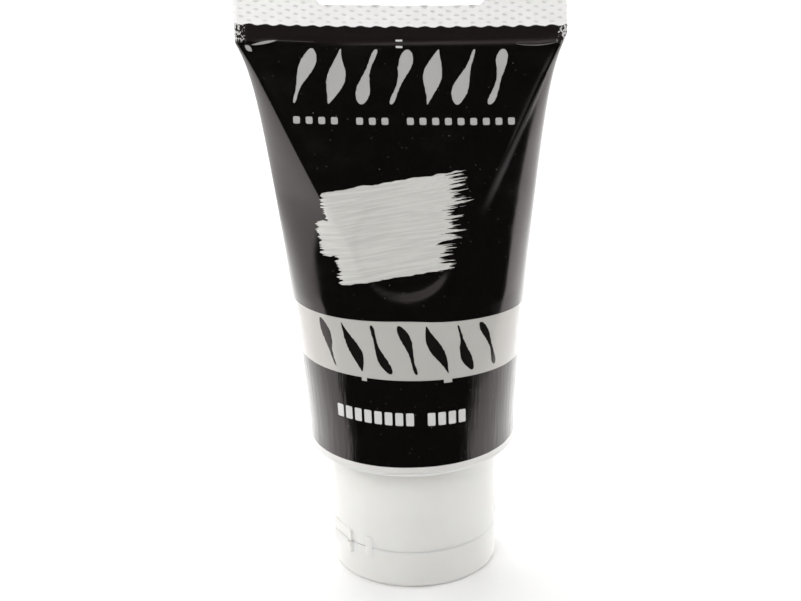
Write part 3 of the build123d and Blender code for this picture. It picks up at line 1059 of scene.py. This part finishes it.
def make_seam_bead(material):
    """Low rounded bead round the lid's rim, which all but closes the seam when the cap is shut."""
    inner, outer = CAP_RADIUS - 0.9, CAP_RADIUS - 0.05
    low, shoulder, top = SEAM - 0.09, SEAM + 0.02, SEAM + 0.05
    profile = [(inner, low), (inner, shoulder), (inner + 0.1, top), (outer - 0.07, top), (outer, shoulder),
               (outer, low)]
    angles = np.radians(np.linspace(HINGE_DEGREES + 32, HINGE_DEGREES + 328, 150))
    vertices = [(r * math.cos(a), r * math.sin(a), z) for a in angles for r, z in profile]
    count = len(profile)
    last = len(vertices) - count
    faces = [tuple(range(count)), tuple(reversed(range(last, last + count)))]
    for start in range(0, last, count):
        faces += bridge(start, start + count, count)
    bead = new_object("lid_seam_bead", vertices, faces)
    bead.data.materials.append(material)
    bead.data.set_sharp_from_angle(angle=SHARP_EDGE)
    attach(bead, "lid")


def strap_grid(middle, low, high, rows, columns):
    """Rings of one hinge strap, up from its foot: the side on the cap, then the outer side."""
    vertices = []
    for i in range(rows + 1):
        t = i / rows
        z = low + (high - low) * t
        waist = 1 - 0.22 * math.exp(-((z - SEAM) / 0.7) ** 2)
        thin = 1 - 0.45 * math.exp(-((z - SEAM) / 0.45) ** 2)
        end = math.sin(math.pi * min(max(t, 0.02), 0.98)) ** 0.25
        for skin in (0, 1):
            for j in range(columns + 1):
                across = 2 * j / columns - 1
                swell = (1 - across**2) * end * thin
                radius = CAP_RADIUS + 0.01 + skin * STRAP_THICKNESS * swell
                angle = middle + math.radians(STRAP_HALF_DEGREES) * across * waist
                vertices.append((radius * math.cos(angle), radius * math.sin(angle), z))
    return vertices


def strap_faces(start, rows, columns):
    """Faces of one hinge strap: both skins and sides, row by row, then its two ends."""
    outer = columns + 1
    ring = 2 * outer
    faces = []
    for i in range(rows):
        a, b = start + i * ring, start + (i + 1) * ring
        for j in range(columns):
            faces.append((a + j + 1, a + j, b + j, b + j + 1))
            faces.append((a + outer + j, a + outer + j + 1, b + outer + j + 1, b + outer + j))
        faces.append((a, a + outer, b + outer, b))
        faces.append((a + outer - 1, b + outer - 1, b + ring - 1, a + ring - 1))
    top = start + rows * ring
    for j in range(columns):
        faces.append((start + j, start + j + 1, start + outer + j + 1, start + outer + j))
        faces.append((top + j + 1, top + j, top + outer + j, top + outer + j + 1))
    return faces


def make_hinge_bands(material):
    """The two thin side straps of the butterfly hinge, rounded and slightly waisted."""
    low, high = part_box("hinge_bands")
    rows, columns = 24, 10
    vertices, faces = [], []
    for side in (-1, 1):
        middle = math.radians(HINGE_DEGREES + side * STRAP_DEGREES)
        faces += strap_faces(len(vertices), rows, columns)
        vertices += strap_grid(middle, low.z / MM, high.z / MM, rows, columns)
    bands = new_object("hinge_straps", vertices, faces)
    bands.data.materials.append(material)
    joined = bmesh.new()
    joined.from_mesh(bands.data)
    bmesh.ops.remove_doubles(joined, verts=joined.verts, dist=1e-6)
    bmesh.ops.recalc_face_normals(joined, faces=joined.faces)
    joined.to_mesh(bands.data)
    joined.free()
    bands.data.set_sharp_from_angle(angle=SHARP_EDGE)
    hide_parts("hinge_bands")
    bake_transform(bands)


# ---------------------------------------------------------------- the build

cap_white = moulded_plastic("cap_polypropylene", CAP_WHITE, CAP_WHITE_CLOUD)
thin_white = moulded_plastic("thin_polypropylene", CAP_WHITE, CAP_WHITE_CLOUD, glow=0.0)
for node in ("cap_base", "cap_lid", "hinge_film"):
    dress(node, cap_white)
dress("tube_head", moulded_plastic("head_polyethylene", HEAD_WHITE, HEAD_WHITE_CLOUD))
dress("foil_seal", seal_foil())
dress("neck_washer", washer_foam())

sleeve = make_sleeve()
sleeve.data.materials.append(printed_sleeve())
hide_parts("tube_sleeve")
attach(sleeve, "tube")

paint = make_paint()
paint.data.materials.append(white_paint())
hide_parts("paint_fill")
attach(paint, "tube")

make_hinge_bands(thin_white)
make_seam_bead(thin_white)

make_stage()
make_world()
softbox("left_softbox", (-620, 60, 420), (380, 620), 1.15)
softbox("right_softbox", (560, 120, 260), (300, 520), 0.8)
softbox("back_softbox", (-60, 420, 620), (520, 420), 3.2)
softbox("front_softbox", (-80, -420, 480), (420, 320), 1.4, target=(0, 0, 100))
glint_strip("overhead_strip", (-60, -260, 620), (420, 120), 1.6)
make_camera()
